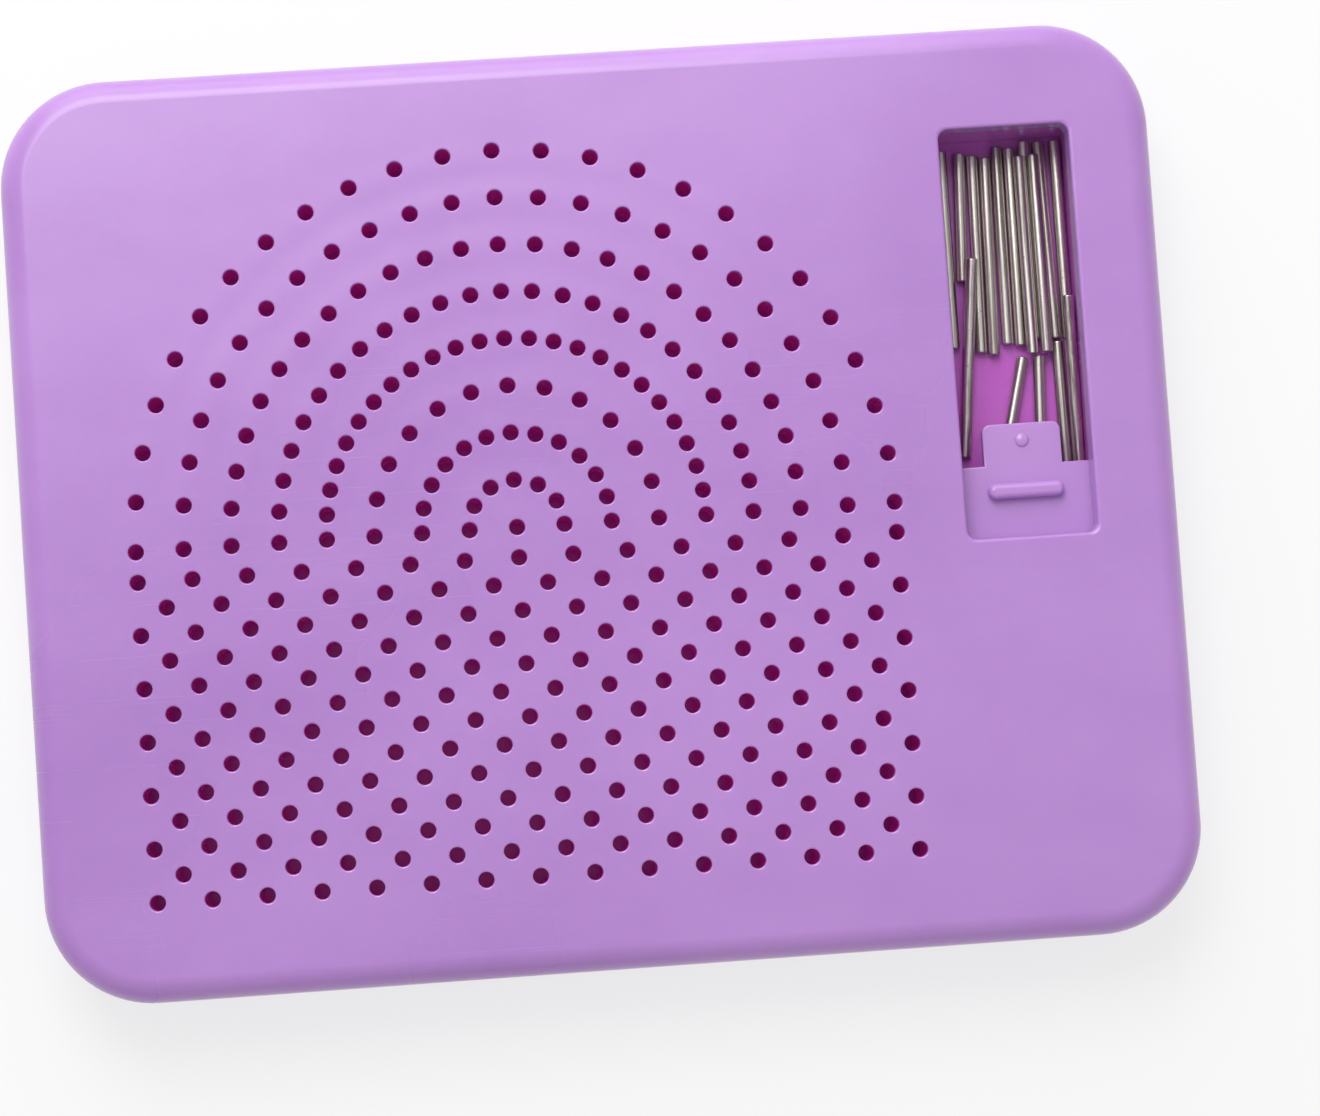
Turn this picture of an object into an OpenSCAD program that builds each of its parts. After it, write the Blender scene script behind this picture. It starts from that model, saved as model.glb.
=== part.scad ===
// Peg board with a pattern of pin holes, a pin well and a sliding well cover.
// Millimetres. X runs along the board, Y up the board as it is held, Z up.
// The origin lies under the middle of the board, on the surface it stands on.

/* [Body] */
// Length of the board along X
body_l = 113; // [112:1:140]
// Width of the board along Y
body_w = 90; // [88:1:110]
// Height of the board from the standing surface to the top of the plate
body_h = 13; // [12.5:0.5:18]
// Radius of the board's corners in plan
corner_r = 10.5; // [8:0.5:14]
// Radius of the rounded edge round the top
edge_r = 2.5; // [1:0.5:3]
// Thickness of the top plate
plate_t = 2.8; // [2:0.2:3.4]
// Thickness of the side walls
wall_t = 1.6; // [1.2:0.1:1.8]
// Thickness of the bottom cover's floor
base_t = 2; // [1.6:0.1:2.4]
// Height of the locating lip on the bottom cover
lip_h = 1.5; // [1:0.1:2]
// Thickness of the locating lip
lip_t = 1; // [0.8:0.1:1.2]
// Gap between the locating lip and the side walls
lip_gap = 0.15; // [0.1:0.05:0.3]

/* [Hole pattern] */
// Diameter of a pin hole
hole_d = 1.55; // [1.4:0.05:1.9]
// Radial distance from one arc of holes to the next
ring_step = 4.62; // [4:0.02:4.62]
// Number of holes on each half circle, from the middle outwards
ring_counts = [1, 7, 13, 13, 25, 25, 25, 25, 25];
// Number of rows in the staggered field under the arcs
lattice_rows = 13; // [5:2:13]
// Number of gaps between the holes of a long row
lattice_gaps = 14; // [10:2:14]
// Distance from the arcs' centre line to the first staggered row
lattice_start = 2.96; // [2.6:0.02:3]
// Distance from one staggered row to the next
row_step = 2.58; // [2.4:0.02:2.58]
// Distance from the board's left side to the first hole of a long row
field_left = 11.07; // [9:0.01:11.5]
// Distance from the board's upper side to the outermost arc
field_top = 9.47; // [9:0.01:11]
// Width of the socket ribs under the arcs
rib_w = 2.8; // [2.6:0.1:3]
// Depth of the sockets below the plate
socket_h = 4; // [3:0.5:4.5]

/* [Pin well] */
// Width of the window in the plate
window_w = 12.9; // [12.7:0.1:13.4]
// Length of the window in the plate
window_l = 40.5; // [40.5:0.5:48]
// Distance from the board's right side to the window
window_right = 8.2; // [8.2:0.1:9]
// Distance from the board's upper side to the window
window_top = 10.15; // [8:0.05:10.5]
// Radius of the window's corners
window_r = 1; // [0.6:0.1:1.4]
// How far the well is wider than the window on its right side
well_extra_w = 0.7; // [0.7:0.1:0.9]
// How far the well runs on past the lower end of the window
well_extra_l = 2; // [2:0.5:4]
// Distance from the window's upper edge to the well's upper wall
well_extra_top = 0.2; // [0.1:0.05:0.5]
// Thickness of the well's walls
well_wall_t = 1.2; // [1:0.1:1.3]

/* [Well cover] */
// Thickness of the sliding cover
cover_t = 1.2; // [1:0.1:1.4]
// Gap between the plate and the cover under it
cover_top_gap = 0.4; // [0.4:0.05:0.6]
// Gap between the cover and the rails that carry it
cover_rail_gap = 0.05; // [0.03:0.01:0.1]
// Gap between the cover's sides and its guides
cover_side_gap = 0.2; // [0.1:0.05:0.3]
// How far the cover reaches past the window at each end when closed
cover_lap = 0.15; // [0.1:0.05:0.5]
// How far the cover stands open
cover_open = 33.34; // [30:0.01:34]
// Width of the cover's tab
tab_w = 7.75; // [6:0.25:8]
// Length of the cover's tab
tab_l = 4.1; // [3:0.1:4.5]
// Radius of the tab's corners
tab_r = 0.8; // [0.5:0.1:1.2]
// Diameter of the click bump on the tab
bump_d = 1.4; // [1:0.1:1.8]
// Height of the click bump
bump_h = 0.3; // [0.2:0.05:0.35]
// Distance from the tab's root to the click bump
bump_place = 2.4; // [2:0.1:3]
// Length of the grip bar across the cover
grip_l = 7.5; // [6:0.5:9]
// Width of the grip bar
grip_w = 1.5; // [1.2:0.1:2]
// Height of the grip bar
grip_h = 1.2; // [0.8:0.1:2]
// Distance from the tab's root to the middle of the grip bar
grip_place = 2.6; // [2:0.1:3.5]

/* [Pins] */
// Diameter of a pin
pin_d = 1.2; // [1:0.05:1.22]
// Length of a pin
pin_l = 20; // [16:0.5:20]
// Length of the short pin
short_pin_l = 13; // [10:0.5:13]
// Chamfer on a pin's ends
pin_chamfer = 0.15; // [0.1:0.05:0.25]
// Gap between a resting pin and what it lies on
rest_gap = 0.05; // [0.03:0.01:0.1]

/* [Screws and feet] */
// Diameter of the screw bosses
boss_d = 4.4; // [4.2:0.1:4.8]
// Diameter of the screws' bore in the bosses
pilot_d = 2.06; // [2.04:0.02:2.16]
// Thread diameter of a cover screw
screw_d = 2; // [1.8:0.1:2]
// Length of a cover screw under its head
screw_l = 6; // [5:0.5:8]
// Diameter of a screw head
screw_head_d = 3.8; // [3.4:0.1:4]
// Height of a screw head
screw_head_h = 1; // [0.8:0.1:1.1]
// Clearance round a screw and its head in the bottom cover
screw_gap = 0.2; // [0.1:0.05:0.3]
// Diameter of a rubber foot
foot_d = 9; // [6:0.5:10]
// Height of a rubber foot
foot_t = 1.1; // [1:0.1:1.5]
// Depth of the recess that a foot sits in
foot_sink = 0.3; // [0.2:0.05:0.5]

/* [Hidden] */

plate_colour = "#be90da";
well_colour = "#a04ba8";
steel_colour = "#b4afa5";
rubber_colour = "#2c2a2e";

fine = 48;        // facets of a round face that is drawn smooth
coarse = 32;      // facets of a corner that is only blended
eps = 0.01;       // how far a cut runs past the face it opens

right_x = body_l / 2;
top_y = body_w / 2;

// Heights, from the standing surface up
base_z = foot_t - foot_sink;
floor_z = base_z + base_t;
plate_z = body_h - plate_t;
cover_top_z = plate_z - cover_top_gap;
cover_z = cover_top_z - cover_t;
rail_z = cover_z - cover_rail_gap;

// Hole pattern
ring_max = len(ring_counts) - 1;
field_r = ring_max * ring_step;
ring_x = field_left + field_r - right_x;
ring_y = top_y - field_top - field_r;
lattice_pitch = 2 * field_r / lattice_gaps;
socket_margin = rib_w / 2;
lattice_l = lattice_start + (lattice_rows - 1) * row_step;

// Window, well and rails
window_x0 = right_x - window_right - window_w;
window_x1 = right_x - window_right;
window_y1 = top_y - window_top;
window_y0 = window_y1 - window_l;
window_x = (window_x0 + window_x1) / 2;
well_x0 = window_x0;
well_x1 = window_x1 + well_extra_w;
well_y0 = window_y0 - well_extra_l;
well_y1 = window_y1 + well_extra_top;

// Cover: its root is the straight edge that the tab stands on
cover_x0 = well_x0 - well_wall_t + cover_side_gap;
cover_x1 = well_x1 + well_wall_t - cover_side_gap;
cover_l = window_l + 2 * cover_lap;
cover_y1 = window_y1 + cover_lap - cover_open;
cover_y0 = cover_y1 - cover_l;
cover_r = 3;
guide_t = 1.1;
guide_drop = plate_z - cover_top_z + cover_t / 2;
inside_y0 = wall_t - top_y;
// The rails end where the right one would meet the rounded inner corner
lip_r = corner_r - wall_t - lip_gap;
rail_reach = well_x1 + well_wall_t - right_x + corner_r;
rail_y0 = corner_r - top_y - sqrt(pow(lip_r, 2) - pow(rail_reach, 2));

// Screws and feet
boss_inset = wall_t + boss_d / 2 + 0.1;
corner_step = 1.5;    // how far the corner bosses stand in from both walls
side_step = 6.1;      // how far the boss beside the rail stands up from the lower wall
screw_places = [
    [boss_inset + corner_step - right_x, top_y - boss_inset - corner_step],
    [boss_inset + corner_step - right_x, boss_inset + corner_step - top_y],
    [right_x - boss_inset - corner_step, top_y - boss_inset - corner_step],
    [right_x - boss_inset, boss_inset + side_step - top_y]];
screw_tip = 1;        // unthreaded end of the bore past a screw
screw_seat_z = base_z + screw_head_h + screw_gap;
foot_inset_x = 13;
foot_inset_y = 13;

// Loose pins in the well. Each row gives the lower end's place, in from the well's
// left wall and up from the window's lower edge, how far the upper end lies to
// the right of it, the height of each end above a pin lying on the floor, and the
// pin's length. The upper layer lies in the valleys between the pins below it.
valley = 1.04;
loose = [
    [1.25, 19.8, 0.05, 0, 0, pin_l],
    [2.58, 26.5, 0.57, 0, 0, short_pin_l],
    [3.98, 19.2, 0.47, 0, 0, pin_l],
    [5.25, 18.9, 0.45, 0, 0, pin_l],
    [6.70, 19.9, 0.25, 0, 0, pin_l],
    [8.00, 19.7, 0.20, 0, 0, pin_l],
    [9.00, 18.7, 0.05, valley, valley, pin_l],
    [10.45, 18.8, 0.00, valley, valley, pin_l],
    [9.65, 20.3, 0.05, 0, 0, pin_l],
    [11.55, 20.2, -0.35, 0, 0, pin_l],
    [12.85, 20.2, 0.00, 0, 0, pin_l],
    [12.97, 4.4, -0.10, 0, 1.56, pin_l],
    [3.20, -0.9, 4.85, 0, 0, pin_l],
    [8.75, -1.4, 0.95, 0, 0, pin_l],
    [11.70, -0.1, -0.02, 0, 0, pin_l],
    [1.55, 8.8, 2.00, 0, 1.10, pin_l]];

// A block with rounded corners and sharp edges
module plan_block(l, w, r, z0, z1) {
    translate([0, 0, z0]) linear_extrude(z1 - z0) offset(r = r, $fn = coarse)
        square([l - 2 * r, w - 2 * r], center = true);
}

// One corner of the board, with the rounded edge as a quarter circle
module corner_post(z0, z1) {
    steps = 6;
    rounding = [for (i = [0:steps]) let (a = 90 * i / steps)
        [corner_r - edge_r + edge_r * cos(a), z1 - edge_r + edge_r * sin(a)]];
    rotate_extrude($fn = coarse) polygon(concat([[0, z0], [corner_r, z0]], rounding, [[0, z1]]));
}

module outer_block() {
    hull() for (x = [-1, 1], y = [-1, 1])
        translate([x * (right_x - corner_r), y * (top_y - corner_r), 0])
            corner_post(floor_z, body_h);
}

// A box between two corners in plan
module box_between(x0, x1, y0, y1, z0, z1) {
    translate([x0, y0, z0]) cube([x1 - x0, y1 - y0, z1 - z0]);
}

module ring_rib(r) {
    translate([ring_x, ring_y, plate_z - socket_h]) rotate_extrude(angle = 180, $fn = fine)
        translate([r - rib_w / 2, 0]) square([rib_w, socket_h]);
}

// Ribs and block that lengthen the holes under the plate
module sockets() {
    for (k = [1:ring_max]) ring_rib(k * ring_step);
    box_between(ring_x - field_r - socket_margin, ring_x + field_r + socket_margin,
                ring_y - lattice_l - socket_margin, ring_y, plate_z - socket_h, plate_z);
}

module hole() {
    translate([0, 0, floor_z]) cylinder(d = hole_d, h = body_h, $fn = fine);
}

// Half circles of holes, each evenly divided from 0 to 180 degrees
module ring_holes() {
    for (k = [0:ring_max]) let (n = ring_counts[k]) for (i = [0:n - 1])
        let (a = n == 1 ? 90 : 180 * i / (n - 1))
            translate([ring_x + k * ring_step * cos(a), ring_y + k * ring_step * sin(a), 0]) hole();
}

// Rows of holes under the arcs, every second row set in by half a pitch
module lattice_holes() {
    for (row = [0:lattice_rows - 1]) let (short = row % 2)
        for (i = [0:lattice_gaps - short])
            translate([ring_x - field_r + (i + short / 2) * lattice_pitch,
                       ring_y - lattice_start - row * row_step, 0]) hole();
}

module window_cut() {
    translate([window_x, (window_y0 + window_y1) / 2, 0])
        plan_block(window_w, window_l, window_r, plate_z - eps, body_h + eps);
}

// Ribs under the plate that keep the cover straight
module cover_guides() {
    for (x = [cover_x0 - cover_side_gap - guide_t, cover_x1 + cover_side_gap])
        box_between(x, x + guide_t, inside_y0 - eps, window_y1, plate_z - guide_drop, plate_z);
}

module screw_bosses() {
    for (p = screw_places) translate([p.x, p.y, floor_z])
        cylinder(d = boss_d, h = plate_z - floor_z, $fn = fine);
}

module screw_pilots() {
    for (p = screw_places) translate([p.x, p.y, floor_z - eps])
        cylinder(d = pilot_d, h = screw_l, $fn = fine);
}

module top_shell() {
    color(plate_colour) difference() {
        union() {
            difference() {
                outer_block();
                plan_block(body_l - 2 * wall_t, body_w - 2 * wall_t, corner_r - wall_t,
                           floor_z - eps, plate_z);
            }
            sockets();
            cover_guides();
            screw_bosses();
        }
        ring_holes();
        lattice_holes();
        window_cut();
        screw_pilots();
    }
}

// Walls round the well, running on below it as the cover's rails
module well_walls() {
    outer_x0 = well_x0 - well_wall_t;
    outer_x1 = well_x1 + well_wall_t;
    for (x = [outer_x0, well_x1])
        box_between(x, x + well_wall_t, rail_y0, well_y1 + well_wall_t, floor_z, rail_z);
    box_between(outer_x0, outer_x1, well_y1, well_y1 + well_wall_t, floor_z, rail_z);
    box_between(outer_x0, outer_x1, well_y0 - well_wall_t, well_y0, floor_z, rail_z);
}

module locating_lip() {
    inset = wall_t + lip_gap;
    difference() {
        plan_block(body_l - 2 * inset, body_w - 2 * inset, corner_r - inset,
                   floor_z, floor_z + lip_h);
        plan_block(body_l - 2 * (inset + lip_t), body_w - 2 * (inset + lip_t),
                   corner_r - inset - lip_t, floor_z - eps, floor_z + lip_h + eps);
        for (p = screw_places) translate([p.x, p.y, floor_z - eps])
            cylinder(d = boss_d + 2 * lip_gap, h = lip_h + 2 * eps, $fn = fine);
    }
}

module bottom_cover() {
    color(well_colour) difference() {
        union() {
            plan_block(body_l, body_w, corner_r, base_z, floor_z);
            locating_lip();
            well_walls();
        }
        for (p = screw_places) translate([p.x, p.y, base_z - eps]) {
            cylinder(d = screw_d + 2 * screw_gap, h = base_t + 2 * eps, $fn = fine);
            cylinder(d = screw_head_d + 2 * screw_gap, h = screw_seat_z - base_z + eps, $fn = fine);
        }
        for (x = [-1, 1], y = [-1, 1]) translate(foot_place(x, y, base_z - eps))
            cylinder(d = foot_d + screw_gap, h = foot_sink + eps, $fn = fine);
    }
}

function foot_place(x, y, z) = [x * (right_x - foot_inset_x), y * (top_y - foot_inset_y), z];

// The grip bar has a half-round top
module grip_bar() {
    r = grip_w / 2;
    translate([window_x - grip_l / 2, cover_y1 - grip_place, cover_top_z]) rotate([90, 0, 90])
        linear_extrude(grip_l) union() {
            translate([-r, 0]) square([grip_w, grip_h - r]);
            translate([0, grip_h - r]) intersection() {
                circle(r = r, $fn = fine);
                translate([-r, 0]) square([grip_w, r]);
            }
        }
}

module well_cover() {
    tab_run = tab_l + tab_r;
    color(plate_colour) union() {
        translate([(cover_x0 + cover_x1) / 2, (cover_y0 + cover_y1) / 2, 0]) difference() {
            translate([0, 0, cover_z + cover_t / 2])
                cube([cover_x1 - cover_x0, cover_l, cover_t], center = true);
            for (x = [-1, 1]) translate([x * (cover_x1 - cover_x0) / 2, -cover_l / 2, 0])
                rotate([0, 0, 45]) cube([cover_r, cover_r, 2 * body_h], center = true);
        }
        intersection() {
            translate([window_x, cover_y1 + tab_l - tab_run / 2, 0])
                plan_block(tab_w, tab_run, tab_r, cover_z, cover_top_z);
            box_between(window_x - tab_w, window_x + tab_w, cover_y1, cover_y1 + 2 * tab_l,
                        cover_z, cover_top_z);
        }
        translate([window_x, cover_y1 + bump_place, cover_top_z])
            cylinder(d = bump_d, h = bump_h, $fn = fine);
        grip_bar();
    }
}

module cover_screws() {
    color(steel_colour) for (p = screw_places) translate([p.x, p.y, screw_seat_z - screw_head_h]) {
        cylinder(d = screw_head_d, h = screw_head_h, $fn = fine);
        cylinder(d = screw_d, h = screw_head_h + screw_l - screw_tip, $fn = fine);
    }
}

module rubber_feet() {
    color(rubber_colour) for (x = [-1, 1], y = [-1, 1]) translate(foot_place(x, y, 0))
        cylinder(d = foot_d, h = foot_t, $fn = fine);
}

// A pin with chamfered ends, standing on its lower end
module pin(l) {
    r = pin_d / 2;
    tip = r - pin_chamfer;
    rotate_extrude($fn = fine) polygon([[0, 0], [tip, 0], [r, pin_chamfer],
        [r, l - pin_chamfer], [tip, l], [0, l]]);
}

// A loose pin, laid from its lower end towards its upper end
module loose_pin(number) {
    p = loose[number - 1];
    swing = asin(p[2] / p[5]);
    rise = asin((p[4] - p[3]) / p[5]);
    color(steel_colour) translate([well_x0 + p[0], window_y0 + p[1],
            floor_z + rest_gap + pin_d / 2 + p[3]])
        rotate([0, 0, -swing]) rotate([rise - 90, 0, 0]) pin(p[5]);
}

top_shell();
bottom_cover();
well_cover();
cover_screws();
rubber_feet();
loose_pin(1);  // pin_01
loose_pin(2);  // pin_02
loose_pin(3);  // pin_03
loose_pin(4);  // pin_04
loose_pin(5);  // pin_05
loose_pin(6);  // pin_06
loose_pin(7);  // pin_07
loose_pin(8);  // pin_08
loose_pin(9);  // pin_09
loose_pin(10);  // pin_10
loose_pin(11);  // pin_11
loose_pin(12);  // pin_12
loose_pin(13);  // pin_13
loose_pin(14);  // pin_14
loose_pin(15);  // pin_15
loose_pin(16);  // pin_16
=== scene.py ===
import math

import bmesh
import bpy
import numpy as np
from mathutils import Matrix, Vector


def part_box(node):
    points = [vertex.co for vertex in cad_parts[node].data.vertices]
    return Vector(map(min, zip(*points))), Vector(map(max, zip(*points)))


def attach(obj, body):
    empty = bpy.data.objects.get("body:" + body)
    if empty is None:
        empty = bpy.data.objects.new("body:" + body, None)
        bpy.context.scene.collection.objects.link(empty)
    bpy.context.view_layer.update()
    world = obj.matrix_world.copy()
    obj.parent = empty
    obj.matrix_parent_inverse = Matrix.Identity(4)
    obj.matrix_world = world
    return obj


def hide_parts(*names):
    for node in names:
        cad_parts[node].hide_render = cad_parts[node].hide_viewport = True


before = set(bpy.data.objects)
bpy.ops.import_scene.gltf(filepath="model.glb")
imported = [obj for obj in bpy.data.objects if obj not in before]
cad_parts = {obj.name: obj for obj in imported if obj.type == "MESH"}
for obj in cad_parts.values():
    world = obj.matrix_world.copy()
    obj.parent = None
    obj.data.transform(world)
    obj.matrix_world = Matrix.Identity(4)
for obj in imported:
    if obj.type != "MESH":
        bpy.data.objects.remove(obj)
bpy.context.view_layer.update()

# The board's looks. Shapes are modelled in millimetres in the frame's own axes and
# brought to metres when they are finished; materials work in metres.
MM = 0.001


# Sizes that the frame doesn't give, in millimetres

# outline, walls and plate
CORNER_R = 10.5
EDGE_R = 2.5
WALL_T = 1.6
PLATE_T = 2.8
SOCKET_H = 4.0
SOCKET_MARGIN = 1.4

# pin holes and window, with their rounded rims
HOLE_R = 0.775
HOLE_RIM = 0.14
WINDOW_RIM = 0.3
WINDOW_R = 1.0
WINDOW_W = 12.9
WINDOW_L = 40.5
WINDOW_RIGHT = 8.2
WINDOW_TOP = 10.15

# pattern of holes: half rings above, staggered rows below
RING_STEP = 4.62
RING_COUNTS = (1, 7, 13, 13, 25, 25, 25, 25, 25)
LATTICE_ROWS = 13
LATTICE_GAPS = 14
LATTICE_START = 2.96
ROW_STEP = 2.58
FIELD_LEFT = 11.07
FIELD_TOP = 9.47

# sliding cover, its tab, click bump and grip bar
COVER_T = 1.2
COVER_R = 2.2
COVER_EDGE_R = 0.15
TAB_W = 7.75
TAB_L = 4.1
TAB_R = 0.8
BUMP_D = 1.4
BUMP_H = 0.3
BUMP_PLACE = 2.4
GRIP_L = 7.5
GRIP_W = 1.5
GRIP_H = 1.2
GRIP_R = 0.7
GRIP_EDGE_R = 0.55
GRIP_ROOT = 0.5
GRIP_PLACE = 2.6

# loose pins
PIN_D = 1.2
PIN_CHAMFER = 0.15

# rubber feet, with a ring groove in the sole
FOOT_R = 4.5
FOOT_EDGE_R = 0.3
FOOT_LAND = 1.4
GROOVE_SIDE = 0.35
GROOVE_FLOOR = 0.6
GROOVE_DEPTH = 0.25

# where the painted shade and glow of the holes and the well's painted bounced light begin and end: in from
# the sides and ends, down from the top, up from below
WAVE_FADE = 2.5
PAINTED_LIGHT_SIDE = 8.4
PAINTED_LIGHT_END = 7.0
PAINTED_LIGHT_TOP = 0.35
PAINTED_LIGHT_FULL = 1.2
PAINTED_LIGHT_BOTTOM = 1.5
BASE_EDGE_H = 1.9

# slack for finding an edge by its place, and how far a cutter stands out
NEAR = 1e-3
PAST = 1.0


def box_mm(node):
    """A CAD node's lowest and highest corners, in millimetres."""
    low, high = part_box(node)
    return low / MM, high / MM


SHELL_LOW, SHELL_HIGH = box_mm("top_shell")
BASE_LOW, _ = box_mm("bottom_cover")
COVER_LOW, COVER_HIGH = box_mm("well_cover")
PLATE_Z = SHELL_HIGH.z - PLATE_T
FIELD_R = RING_STEP * (len(RING_COUNTS) - 1)
RING_X = SHELL_LOW.x + FIELD_LEFT + FIELD_R
RING_Y = SHELL_HIGH.y - FIELD_TOP - FIELD_R
SOCKET_X1 = RING_X + FIELD_R + SOCKET_MARGIN
WINDOW_X1 = SHELL_HIGH.x - WINDOW_RIGHT
WINDOW_X0 = WINDOW_X1 - WINDOW_W
WINDOW_Y1 = SHELL_HIGH.y - WINDOW_TOP
WINDOW_Y0 = WINDOW_Y1 - WINDOW_L
WINDOW_X = (WINDOW_X0 + WINDOW_X1) / 2
COVER_ROOT_Y = COVER_HIGH.y - TAB_L
COVER_TOP = COVER_LOW.z + COVER_T


# Modelling by hand

def deselect():
    bpy.ops.object.select_all(action="DESELECT")


def edit(obj):
    deselect()
    bpy.context.view_layer.objects.active = obj
    obj.select_set(True)
    bpy.ops.object.mode_set(mode="EDIT")


def leave_edit():
    bpy.ops.object.mode_set(mode="OBJECT")


def select(obj, kind, test):
    """In edit mode, selects the vertices, edges or faces that pass a test."""
    bpy.ops.mesh.select_mode(type={"verts": "VERT", "edges": "EDGE", "faces": "FACE"}[kind])
    bpy.ops.mesh.select_all(action="DESELECT")
    mesh = bmesh.from_edit_mesh(obj.data)
    for element in getattr(mesh, kind):
        if test(element):
            element.select_set(True)
    mesh.select_flush_mode()
    bmesh.update_edit_mesh(obj.data)


def middle(element):
    return sum((v.co for v in element.verts), Vector()) / len(element.verts)


def upright(edge):
    a, b = (v.co for v in edge.verts)
    return abs(a.z - b.z) > 0.5 * (a - b).length and (a - b).length > 1e-6


def block(name, low, high):
    """A box between two corners, with its place in its mesh."""
    deselect()
    low, high = Vector(low), Vector(high)
    bpy.ops.mesh.primitive_cube_add(size=1, location=(low + high) / 2)
    obj = bpy.context.active_object
    obj.name = name
    obj.scale = high - low
    bpy.ops.object.transform_apply(location=True, rotation=False, scale=True)
    return obj


def rod(name, centre, radius, low, high, sides):
    """An upright round bar, with its place in its mesh."""
    deselect()
    place = (centre[0], centre[1], (low + high) / 2)
    bpy.ops.mesh.primitive_cylinder_add(vertices=sides, radius=radius, depth=high - low, location=place)
    obj = bpy.context.active_object
    obj.name = name
    bpy.ops.object.transform_apply(location=True, rotation=False, scale=False)
    return obj


def round_edges(obj, test, radius, steps):
    edit(obj)
    select(obj, "edges", test)
    bpy.ops.mesh.bevel(offset=radius, offset_type="OFFSET", segments=steps, affect="EDGES")
    leave_edit()


def flare_top(obj, rim, reach, steps):
    """Widens a cutter's top by the rim, along a quarter circle, so that it leaves a rounded edge."""
    low, high = bounds_of(obj)
    size = high - low
    centre = (low + high) / 2
    edit(obj)
    select(obj, "faces", lambda f: f.normal.z > 0.9)
    before_w, before_l, before_z = size.x, size.y, 0.0
    for step in range(1, steps + 1):
        turn = math.radians(90 * step / steps)
        out = rim * (1 - math.cos(turn))
        up = rim * math.sin(turn)
        wide, long = size.x + 2 * out, size.y + 2 * out
        bpy.ops.mesh.extrude_region_move(TRANSFORM_OT_translate={"value": (0, 0, up - before_z)})
        bpy.ops.transform.resize(value=(wide / before_w, long / before_l, 1), center_override=centre)
        before_w, before_l, before_z = wide, long, up
    bpy.ops.mesh.extrude_region_move(TRANSFORM_OT_translate={"value": (0, 0, reach)})
    leave_edit()


def bounds_of(obj):
    points = np.array([v.co for v in obj.data.vertices])
    return Vector(points.min(0)), Vector(points.max(0))


def join(objects, name):
    deselect()
    for obj in objects:
        obj.select_set(True)
    bpy.context.view_layer.objects.active = objects[0]
    bpy.ops.object.join()
    objects[0].name = name
    return objects[0]


def copies(obj, places, name):
    """Copies of a shape at several places, joined, each with its own mesh until then."""
    made = []
    for x, y in places:
        twin = obj.copy()
        twin.data = obj.data.copy()
        twin.data.transform(Matrix.Translation((x, y, 0)))
        bpy.context.scene.collection.objects.link(twin)
        made.append(twin)
    bpy.data.objects.remove(obj)
    return join(made, name)


def combine(obj, other, operation):
    """Cuts or adds another shape, which is used up."""
    modifier = obj.modifiers.new("combine", "BOOLEAN")
    modifier.operation = operation
    modifier.solver = "EXACT"
    modifier.object = other
    apply_modifier(obj, modifier)
    bpy.data.objects.remove(other)


def apply_modifier(obj, modifier):
    deselect()
    bpy.context.view_layer.objects.active = obj
    obj.select_set(True)
    bpy.ops.object.modifier_apply(modifier=modifier.name)


def finish_piece(obj, body, material, replaced, smooth_angle=32):
    """Brings a piece to metres, smooths its round faces and ties it to its body."""
    obj.data.transform(Matrix.Scale(MM, 4))
    deselect()
    bpy.context.view_layer.objects.active = obj
    obj.select_set(True)
    bpy.ops.object.shade_smooth_by_angle(angle=math.radians(smooth_angle))
    modifier = obj.modifiers.new("even", "WEIGHTED_NORMAL")
    modifier.keep_sharp = True
    modifier.weight = 100
    apply_modifier(obj, modifier)
    obj.data.materials.clear()
    obj.data.materials.append(material)
    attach(obj, body)
    if replaced:
        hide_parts(replaced)
    return obj


# Materials

class Value:
    """A shader socket that adds Math nodes when it is used in an expression."""

    def __init__(self, paint, socket):
        self.paint = paint
        self.socket = socket

    def math(self, operation, first, second):
        return self.paint.node("ShaderNodeMath", {"operation": operation}, {0: first, 1: second})

    def __add__(self, other):
        return self.math("ADD", self, other)

    def __sub__(self, other):
        return self.math("SUBTRACT", self, other)

    def __rsub__(self, other):
        return self.math("SUBTRACT", other, self)

    def __mul__(self, other):
        return self.math("MULTIPLY", self, other)

    __radd__ = __add__
    __rmul__ = __mul__

    def power(self, other):
        return self.math("POWER", self, other)

    def over(self, limit):
        return self.math("GREATER_THAN", self, limit)


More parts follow.
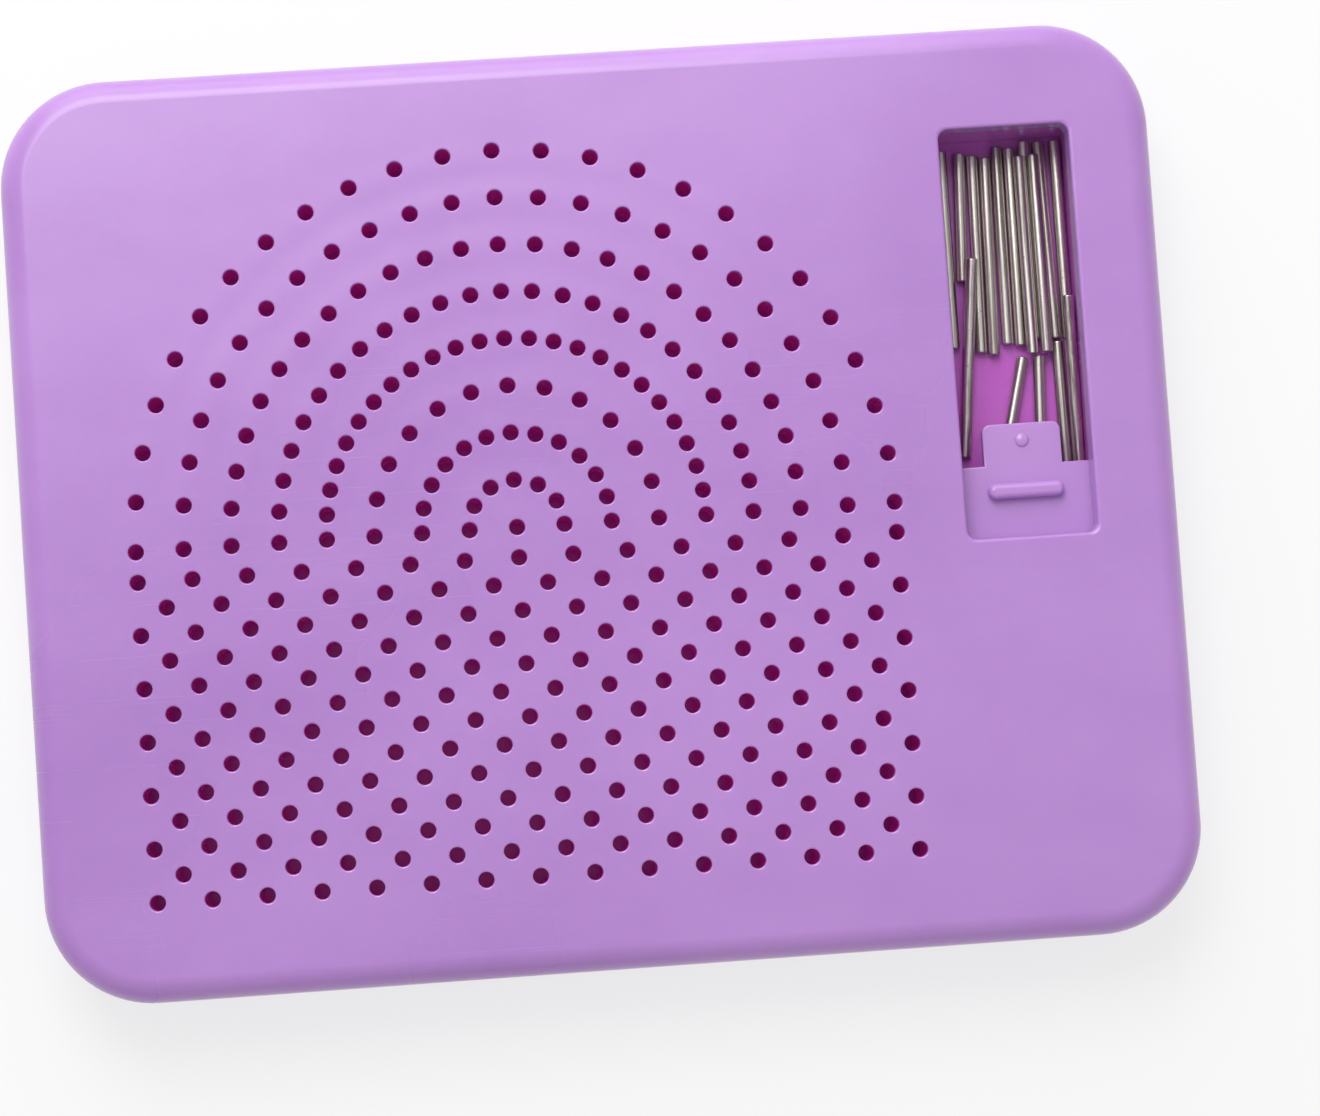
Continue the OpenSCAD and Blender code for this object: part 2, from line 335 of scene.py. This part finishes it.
class Paint:
    """One material, with a single method that adds any node to it."""

    def __init__(self, name, **shader):
        self.material = bpy.data.materials.new(name)
        self.material.use_nodes = True
        self.tree = self.material.node_tree
        self.shader = self.tree.nodes["Principled BSDF"]
        for socket, value in shader.items():
            self.shader.inputs[socket.replace("_", " ")].default_value = value

    def node(self, kind, settings=None, values=None, output=0):
        node = self.tree.nodes.new(kind)
        for name, value in (settings or {}).items():
            if name == "stops":
                self.set_stops(node.color_ramp, value)
            else:
                setattr(node, name, value)
        for name, value in (values or {}).items():
            if isinstance(value, Value):
                self.tree.links.new(value.socket, node.inputs[name])
            else:
                node.inputs[name].default_value = value
        return Value(self, node.outputs[output])

    def set_stops(self, ramp, stops):
        for index, (place, colour) in enumerate(stops):
            stop = ramp.elements[index] if index < len(ramp.elements) else ramp.elements.new(place)
            stop.position = place
            stop.color = colour

    def place(self):
        return self.node("ShaderNodeTexCoord", output="Object")

    def noise(self, where, scale, detail=2.0, roughness=0.5):
        return self.node("ShaderNodeTexNoise", None,
                         {"Vector": where, "Scale": scale, "Detail": detail, "Roughness": roughness})

    def stretched(self, where, scale, turn=(0, 0, 0)):
        return self.node("ShaderNodeMapping", None, {"Vector": where, "Scale": scale, "Rotation": turn})

    def mix(self, amount, first, second):
        return self.node("ShaderNodeMix", {"data_type": "RGBA"},
                         {"Factor": amount, "A": first, "B": second}, output="Result")

    def ramp(self, value, stops):
        return self.node("ShaderNodeValToRGB", {"stops": stops}, {"Fac": value})

    def bump(self, height, distance, strength=1.0, under=None):
        values = {"Height": height, "Distance": distance, "Strength": strength}
        if under:
            values["Normal"] = under
        return self.node("ShaderNodeBump", None, values)

    def feed(self, **values):
        for name, value in values.items():
            self.tree.links.new(value.socket, self.shader.inputs[name.replace("_", " ")])
        return self.material


def srgb(red, green, blue):
    """A colour written in the usual 0 to 255 steps, as the shader wants it."""
    steps = [c / 255 for c in (red, green, blue)]
    return tuple(c / 12.92 if c <= 0.04045 else ((c + 0.055) / 1.055) ** 2.4 for c in steps) + (1.0,)


# painted shade: deep magenta on the hole walls and under the plate, where light only comes through the
# plastic
PAINTED_HOLE_SHADE = srgb(214, 40, 168)
# painted glow: a dark magenta emission in the holes, under the plate and inside the well piece
PAINTED_HOLE_GLOW = srgb(56, 4, 44)
LILAC_TONES = (srgb(187, 141, 211), srgb(181, 134, 206), srgb(174, 127, 200))
COVER_TONES = (srgb(194, 148, 215), srgb(188, 142, 210), srgb(182, 135, 205))
# the well piece's lilac plastic with painted bounced light: a saturated magenta for light bounced between
# the well's walls and through the plastic
WELL_PAINTED_TONES = (srgb(217, 118, 220), srgb(209, 106, 213), srgb(198, 94, 203))


def axis_of(paint, where, name):
    return paint.node("ShaderNodeSeparateXYZ", None, {"Vector": where}, output=name)


def sink_waves(paint, where):
    """Faint arcs in the plate, where it shrank between the rings of holes; they fade out below them."""
    x = axis_of(paint, where, "X") - RING_X * MM
    y = axis_of(paint, where, "Y") - RING_Y * MM
    radius = (x * x + y * y).power(0.5)
    wave = paint.node("ShaderNodeMath", {"operation": "COSINE"},
                      {0: radius * (2 * math.pi / (RING_STEP * MM))})
    inside = paint.node("ShaderNodeMapRange", {"interpolation_type": "SMOOTHSTEP"},
                        {"Value": radius, "From Min": (FIELD_R + WAVE_FADE) * MM,
                         "From Max": (FIELD_R - WAVE_FADE) * MM, "To Min": 0.0, "To Max": 1.0})
    upper = paint.node("ShaderNodeMapRange", {"interpolation_type": "SMOOTHSTEP"},
                       {"Value": y, "From Min": -4 * MM, "From Max": 3 * MM, "To Min": 0.0, "To Max": 1.0})
    return wave * inside * upper


def painted_light_mask(paint, where):
    """1 on the walls of the holes and under them, where light only comes through the plastic; the mask for
    the painted shade and the painted glow.
    """
    sides = [("X", 1.0, SOCKET_X1), ("X", -1.0, SHELL_HIGH.x - PAINTED_LIGHT_SIDE),
             ("Y", 1.0, SHELL_HIGH.y - PAINTED_LIGHT_END), ("Y", -1.0, SHELL_HIGH.y - PAINTED_LIGHT_END),
             ("Z", -1.0, -PAINTED_LIGHT_BOTTOM)]
    inside = paint.node("ShaderNodeMapRange", {"interpolation_type": "SMOOTHSTEP"},
                        {"Value": axis_of(paint, where, "Z"), "From Min": (SHELL_HIGH.z - PAINTED_LIGHT_TOP) * MM,
                         "From Max": (SHELL_HIGH.z - PAINTED_LIGHT_FULL) * MM, "To Min": 0.0, "To Max": 1.0})
    for axis, sign, limit in sides:
        inside = inside * (1 - (axis_of(paint, where, axis) * sign).over(limit * MM))
    return inside


def gloss_plastic(name, tones, arcs=False, painted_glow=False, outside=None):
    """Moulded gloss plastic with cloudy flow marks, faint ripples and hair scratches.

    arcs adds the sink arcs and a painted shade, deep magenta, on the hole walls; the glow flag adds a
    painted glow, an emission, for the light that comes through to the hollow; and outside is the colour of
    what lies below the base's upper face.
    """
    paint = Paint(name, Coat_Weight=0.3, Coat_Roughness=0.2, IOR=1.5, Specular_IOR_Level=0.5,
                  Subsurface_Weight=0.3, Subsurface_Radius=(1.0, 0.3, 0.8), Subsurface_Scale=0.002)
    light, main, deep = tones
    where = paint.place()
    clouds = paint.noise(where, 22, 3.0, 0.55)
    flow = paint.noise(paint.stretched(where, (1.0, 1.8, 1.0), (0, 0, 0.6)), 40, 4.0, 0.6)
    tone = paint.ramp(clouds * 0.6 + flow * 0.4,
                      [(0.36, deep), (0.5, main), (0.66, light)])
    if arcs:
        # painted shade: the hole walls and the plate's underside turn deep magenta, standing in for light
        # that only comes through the plastic
        tone = paint.mix(painted_light_mask(paint, where), tone, PAINTED_HOLE_SHADE)
    if outside:
        # below the base's upper face the well piece keeps its own lilac; above it, the tones with painted
        # bounced light
        tone = paint.mix(axis_of(paint, where, "Z").over((BASE_LOW.z + BASE_EDGE_H) * MM), outside, tone)
    specks = paint.noise(where, 4200, 1.0)
    colour = paint.mix(paint.ramp(specks, [(0.70, (0, 0, 0, 1)), (0.78, (1, 1, 1, 1))]) * 0.12, tone, light)
    scratches = paint.noise(paint.stretched(where, (14.0, 900.0, 14.0), (0, 0, 0.5)), 2.0, 2.0, 0.6)
    lines = paint.ramp(scratches, [(0.62, (0, 0, 0, 1)), (0.86, (1, 1, 1, 1))])
    rough = 0.24 + clouds * 0.08 + lines * 0.03
    ripple = paint.bump(paint.noise(where, 60, 2.0), 0.00035, 0.35)
    peel = paint.bump(paint.noise(where, 900, 2.0), 0.00002, 0.25, ripple)
    if arcs:
        peel = paint.bump(sink_waves(paint, where), 0.00004, 0.35, peel)
    # painted glow: the masked parts emit a dark magenta light, standing in for light that comes through the
    # plastic
    if painted_glow:
        paint.shader.inputs["Emission Strength"].default_value = 1.0
        paint.feed(Emission_Color=paint.mix(painted_light_mask(paint, where), (0, 0, 0, 1), PAINTED_HOLE_GLOW))
    return paint.feed(Base_Color=colour, Roughness=rough, Normal=peel)


def ground_steel(name, turn, seed):
    """Centreless ground pin steel: fine streaks along the pin, darker bands and tiny pits."""
    paint = Paint(name, Metallic=1.0, IOR=2.5)
    where = paint.node("ShaderNodeMapping", None, {"Vector": paint.place(), "Rotation": (0, 0, turn),
                                                   "Location": (seed * 0.37, seed * 0.11, 0)})
    along = paint.noise(paint.stretched(where, (5200.0, 60.0, 5200.0)), 1.0, 3.0, 0.65)
    bands = paint.noise(paint.stretched(where, (1500.0, 25.0, 1500.0)), 1.0, 2.0, 0.5)
    round_marks = paint.noise(paint.stretched(where, (90.0, 5200.0, 90.0)), 1.0, 2.0, 0.5)
    tone = paint.ramp(along * 0.6 + bands * 0.4,
                      [(0.36, srgb(136, 131, 124)), (0.5, srgb(206, 201, 192)), (0.64, srgb(238, 234, 226))])
    pits = paint.ramp(paint.noise(where, 2600, 2.0), [(0.24, (0, 0, 0, 1)), (0.34, (1, 1, 1, 1))])
    colour = paint.mix(pits, srgb(176, 171, 162), tone)
    rough = 0.24 + along * 0.16 + (1 - pits) * 0.08
    normal = paint.bump(along + round_marks * 0.3, 0.000012, 0.6)
    return paint.feed(Base_Color=colour, Roughness=rough, Normal=normal)


def matt_rubber(name):
    """Matt rubber with a fine grain and dust caught in it."""
    paint = Paint(name, IOR=1.45)
    where = paint.place()
    dust = paint.ramp(paint.noise(where, 700, 4.0, 0.7), [(0.5, (0, 0, 0, 1)), (0.75, (1, 1, 1, 1))])
    colour = paint.mix(dust * 0.35, srgb(40, 38, 42), srgb(96, 92, 98))
    rough = 0.75 + dust * 0.15
    return paint.feed(Base_Color=colour, Roughness=rough,
                      Normal=paint.bump(paint.noise(where, 3800, 2.0), 0.00004, 0.6))


# the lilac plastic also carries the painted shade and the painted glow in its holes
LILAC = gloss_plastic("lilac_plastic", LILAC_TONES, arcs=True, painted_glow=True)
COVER_LILAC = gloss_plastic("cover_plastic", COVER_TONES)
# the well piece: lilac plastic, with painted bounced light in its tones and the painted glow
WELL_PAINTED_PURPLE = gloss_plastic("well_plastic", WELL_PAINTED_TONES, painted_glow=True, outside=LILAC_TONES[1])
RUBBER = matt_rubber("foot_rubber")


# The pieces

def hole_places():
    """Centres of the pin holes: half circles above, a staggered field below."""
    places = []
    for ring, count in enumerate(RING_COUNTS):
        for index in range(count):
            turn = math.pi * index / (count - 1) if count > 1 else math.pi / 2
            radius = ring * RING_STEP
            places.append((RING_X + radius * math.cos(turn), RING_Y + radius * math.sin(turn)))
    pitch = 2 * FIELD_R / LATTICE_GAPS
    for row in range(LATTICE_ROWS):
        short = row % 2
        for index in range(LATTICE_GAPS + 1 - short):
            places.append((RING_X - FIELD_R + (index + short / 2) * pitch,
                           RING_Y - LATTICE_START - row * ROW_STEP))
    return places


def cavity(low_x, top_z):
    """The hollow under the plate, from a left side to the inside of the right wall."""
    low = (low_x, SHELL_LOW.y + WALL_T, SHELL_LOW.z - PAST)
    high = (SHELL_HIGH.x - WALL_T, SHELL_HIGH.y - WALL_T, top_z)
    hollow = block("hollow", low, high)
    round_edges(hollow, upright, CORNER_R - WALL_T, 10)
    return hollow


def build_top_shell():
    shell = block("top_shell_skin", SHELL_LOW, SHELL_HIGH)
    round_edges(shell, upright, CORNER_R, 20)
    round_edges(shell, lambda e: middle(e).z > SHELL_HIGH.z - NEAR, EDGE_R, 9)
    combine(shell, cavity(SHELL_LOW.x + WALL_T, PLATE_Z - SOCKET_H), "DIFFERENCE")
    combine(shell, cavity(SOCKET_X1, PLATE_Z), "DIFFERENCE")
    window = block("window", (WINDOW_X0, WINDOW_Y0, PLATE_Z - PAST),
                   (WINDOW_X1, WINDOW_Y1, SHELL_HIGH.z - WINDOW_RIM))
    round_edges(window, upright, WINDOW_R, 6)
    flare_top(window, WINDOW_RIM, PAST, 4)
    combine(shell, window, "DIFFERENCE")
    hole = rod("hole", (0, 0), HOLE_R, SHELL_LOW.z, SHELL_HIGH.z - HOLE_RIM, 20)
    flare_top(hole, HOLE_RIM, PAST, 2)
    combine(shell, copies(hole, hole_places(), "holes"), "DIFFERENCE")
    return finish_piece(shell, "board", LILAC, "top_shell", 20)


def build_well_cover():
    cover = block("well_cover_skin", (COVER_LOW.x, COVER_LOW.y, COVER_LOW.z),
                  (COVER_HIGH.x, COVER_ROOT_Y, COVER_TOP))
    round_edges(cover, lambda e: upright(e) and middle(e).y < COVER_ROOT_Y - PAST, COVER_R, 8)
    tab = block("tab", (WINDOW_X - TAB_W / 2, COVER_ROOT_Y - PAST, COVER_LOW.z),
                (WINDOW_X + TAB_W / 2, COVER_HIGH.y, COVER_TOP))
    round_edges(tab, lambda e: upright(e) and middle(e).y > COVER_ROOT_Y, TAB_R, 8)
    combine(cover, tab, "UNION")
    round_edges(cover, lambda e: all(v.co.z > COVER_TOP - NEAR for v in e.verts)
                and e.calc_face_angle(0) > 1, COVER_EDGE_R, 3)
    deselect()
    bpy.ops.mesh.primitive_uv_sphere_add(segments=28, ring_count=14, radius=1,
                                         location=(WINDOW_X, COVER_ROOT_Y + BUMP_PLACE, COVER_TOP))
    bump = bpy.context.active_object
    bump.scale = (BUMP_D / 2, BUMP_D / 2, BUMP_H)
    bpy.ops.object.transform_apply(location=True, rotation=False, scale=True)
    combine(cover, bump, "UNION")
    grip_y = COVER_ROOT_Y - GRIP_PLACE
    grip = block("grip", (WINDOW_X - GRIP_L / 2, grip_y - GRIP_W / 2, COVER_TOP - GRIP_ROOT),
                 (WINDOW_X + GRIP_L / 2, grip_y + GRIP_W / 2, COVER_TOP + GRIP_H))
    round_edges(grip, upright, GRIP_R, 7)
    round_edges(grip, lambda e: all(v.co.z > COVER_TOP + GRIP_H - NEAR for v in e.verts), GRIP_EDGE_R, 6)
    combine(cover, grip, "UNION")
    return finish_piece(cover, "cover", COVER_LILAC, "well_cover")


def build_pin(node, seed):
    """A pin with chamfered ends, laid where its CAD node lies."""
    points = np.array([v.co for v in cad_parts[node].data.vertices]) / MM
    centre = (points.min(0) + points.max(0)) / 2
    _, _, axes = np.linalg.svd(points - points.mean(0), full_matrices=False)
    along = Vector(axes[0])
    if along.y < 0:
        along = -along
    reach = (points - centre) @ np.array(along)
    pin = rod(node + "_skin", (0, 0), PIN_D / 2, reach.min(), reach.max(), 28)
    round_edges(pin, lambda e: not upright(e), PIN_CHAMFER, 3)
    turn = Vector((0, 0, 1)).rotation_difference(along).to_matrix().to_4x4()
    pin.data.transform(Matrix.Translation(Vector(centre)) @ turn)
    steel = ground_steel(node + "_steel", math.atan2(along.x, along.y), seed)
    return finish_piece(pin, "loose_" + node, steel, node, 40)


def build_foot(index, x, y, low_z, high_z):
    """A round foot with a ring groove in its sole and a rounded outer edge."""
    foot = rod("rubber_foot_%d" % index, (x, y), FOOT_R, low_z, high_z, 56)
    edit(foot)
    select(foot, "faces", lambda f: f.normal.z < -0.9)
    bpy.ops.mesh.inset(thickness=FOOT_LAND)
    bpy.ops.mesh.inset(thickness=GROOVE_SIDE, depth=-GROOVE_DEPTH)
    bpy.ops.mesh.inset(thickness=GROOVE_FLOOR)
    bpy.ops.mesh.inset(thickness=GROOVE_SIDE, depth=GROOVE_DEPTH)
    leave_edit()
    centre = Vector((x, y))
    round_edges(foot, lambda e: middle(e).z < low_z + NEAR
                and all((v.co.xy - centre).length > FOOT_R - NEAR for v in e.verts), FOOT_EDGE_R, 4)
    return finish_piece(foot, "board", RUBBER, "rubber_feet" if index == 1 else None, 40)


def build_feet():
    low, high = box_mm("rubber_feet")
    columns = (low.x + FOOT_R, high.x - FOOT_R)
    rows = (low.y + FOOT_R, high.y - FOOT_R)
    for index, (x, y) in enumerate([(x, y) for x in columns for y in rows], 1):
        build_foot(index, x, y, low.z, high.z)


def finish_cad_nodes():
    """The pieces whose CAD shape is right get their finish on the node itself."""
    steel = ground_steel("screw_steel", 0.6, 3.1)
    for node, material in (("bottom_cover", WELL_PAINTED_PURPLE), ("cover_screws", steel)):
        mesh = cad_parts[node].data
        mesh.materials.clear()
        mesh.materials.append(material)


# Stage, light and camera

def build_stage():
    deselect()
    bpy.ops.mesh.primitive_plane_add(size=6, location=(0, 0, 0))
    floor = bpy.context.active_object
    floor.name = "floor"
    paint = Paint("floor_white", Roughness=0.9, Specular_IOR_Level=0.1)
    paint.shader.inputs["Base Color"].default_value = (0.86, 0.86, 0.86, 1)
    path = paint.tree.nodes.new("ShaderNodeLightPath")
    seen = (Value(paint, path.outputs["Is Camera Ray"]) + Value(paint, path.outputs["Is Glossy Ray"])
            + Value(paint, path.outputs["Is Transmission Ray"]))
    glow = paint.node("ShaderNodeEmission", None, {"Color": (1, 1, 1, 1), "Strength": 1.0})
    blend = paint.node("ShaderNodeMixShader", None,
                       {0: seen * 0.72, 1: Value(paint, paint.shader.outputs["BSDF"]), 2: glow})
    paint.tree.links.new(blend.socket, paint.tree.nodes["Material Output"].inputs["Surface"])
    floor.data.materials.append(paint.material)


def add_lamp(name, place, aim, size, watts, colour=(1, 1, 1)):
    data = bpy.data.lights.new(name, "AREA")
    data.size = size
    data.energy = watts
    data.color = colour
    lamp = bpy.data.objects.new(name, data)
    lamp.location = place
    lamp.rotation_euler = (Vector(aim) - Vector(place)).to_track_quat("-Z", "Y").to_euler()
    bpy.context.scene.collection.objects.link(lamp)


def build_light():
    world = bpy.data.worlds.new("studio")
    world.use_nodes = True
    world.node_tree.nodes["Background"].inputs["Color"].default_value = (1, 1, 1, 1)
    world.node_tree.nodes["Background"].inputs["Strength"].default_value = 0.52
    bpy.context.scene.world = world
    add_lamp("key", (-0.08, 0.28, 0.5), (0, 0, 0), 0.3, 1.6)
    add_lamp("top", (-0.08, 0.42, 0.22), (0, 0, 0), 0.4, 1.05)


def build_camera():
    """The camera looks down on the board, turned a little and standing off its middle."""
    focal_length = 111.8182
    sensor_width = 36
    place = Vector((-16.2, -28.4, 410.8)) * MM
    forward = Vector((0.0536, 0.0577, -0.9969)).normalized()
    up = Vector((0.067, 0.9959, 0.0613))
    side = forward.cross(up).normalized()
    up = side.cross(forward)
    data = bpy.data.cameras.new("camera")
    data.sensor_width = sensor_width
    data.lens = focal_length
    data.clip_start = 0.01
    camera = bpy.data.objects.new("camera", data)
    turn = Matrix((side, up, -forward)).transposed().to_4x4()
    camera.matrix_world = Matrix.Translation(place) @ turn
    bpy.context.scene.collection.objects.link(camera)
    bpy.context.scene.camera = camera


build_camera()
build_stage()
build_light()
bpy.context.scene.view_settings.view_transform = "Standard"
build_top_shell()
build_well_cover()
for number in range(1, 17):
    build_pin("pin_%02d" % number, number)
build_feet()
finish_cad_nodes()
deselect()
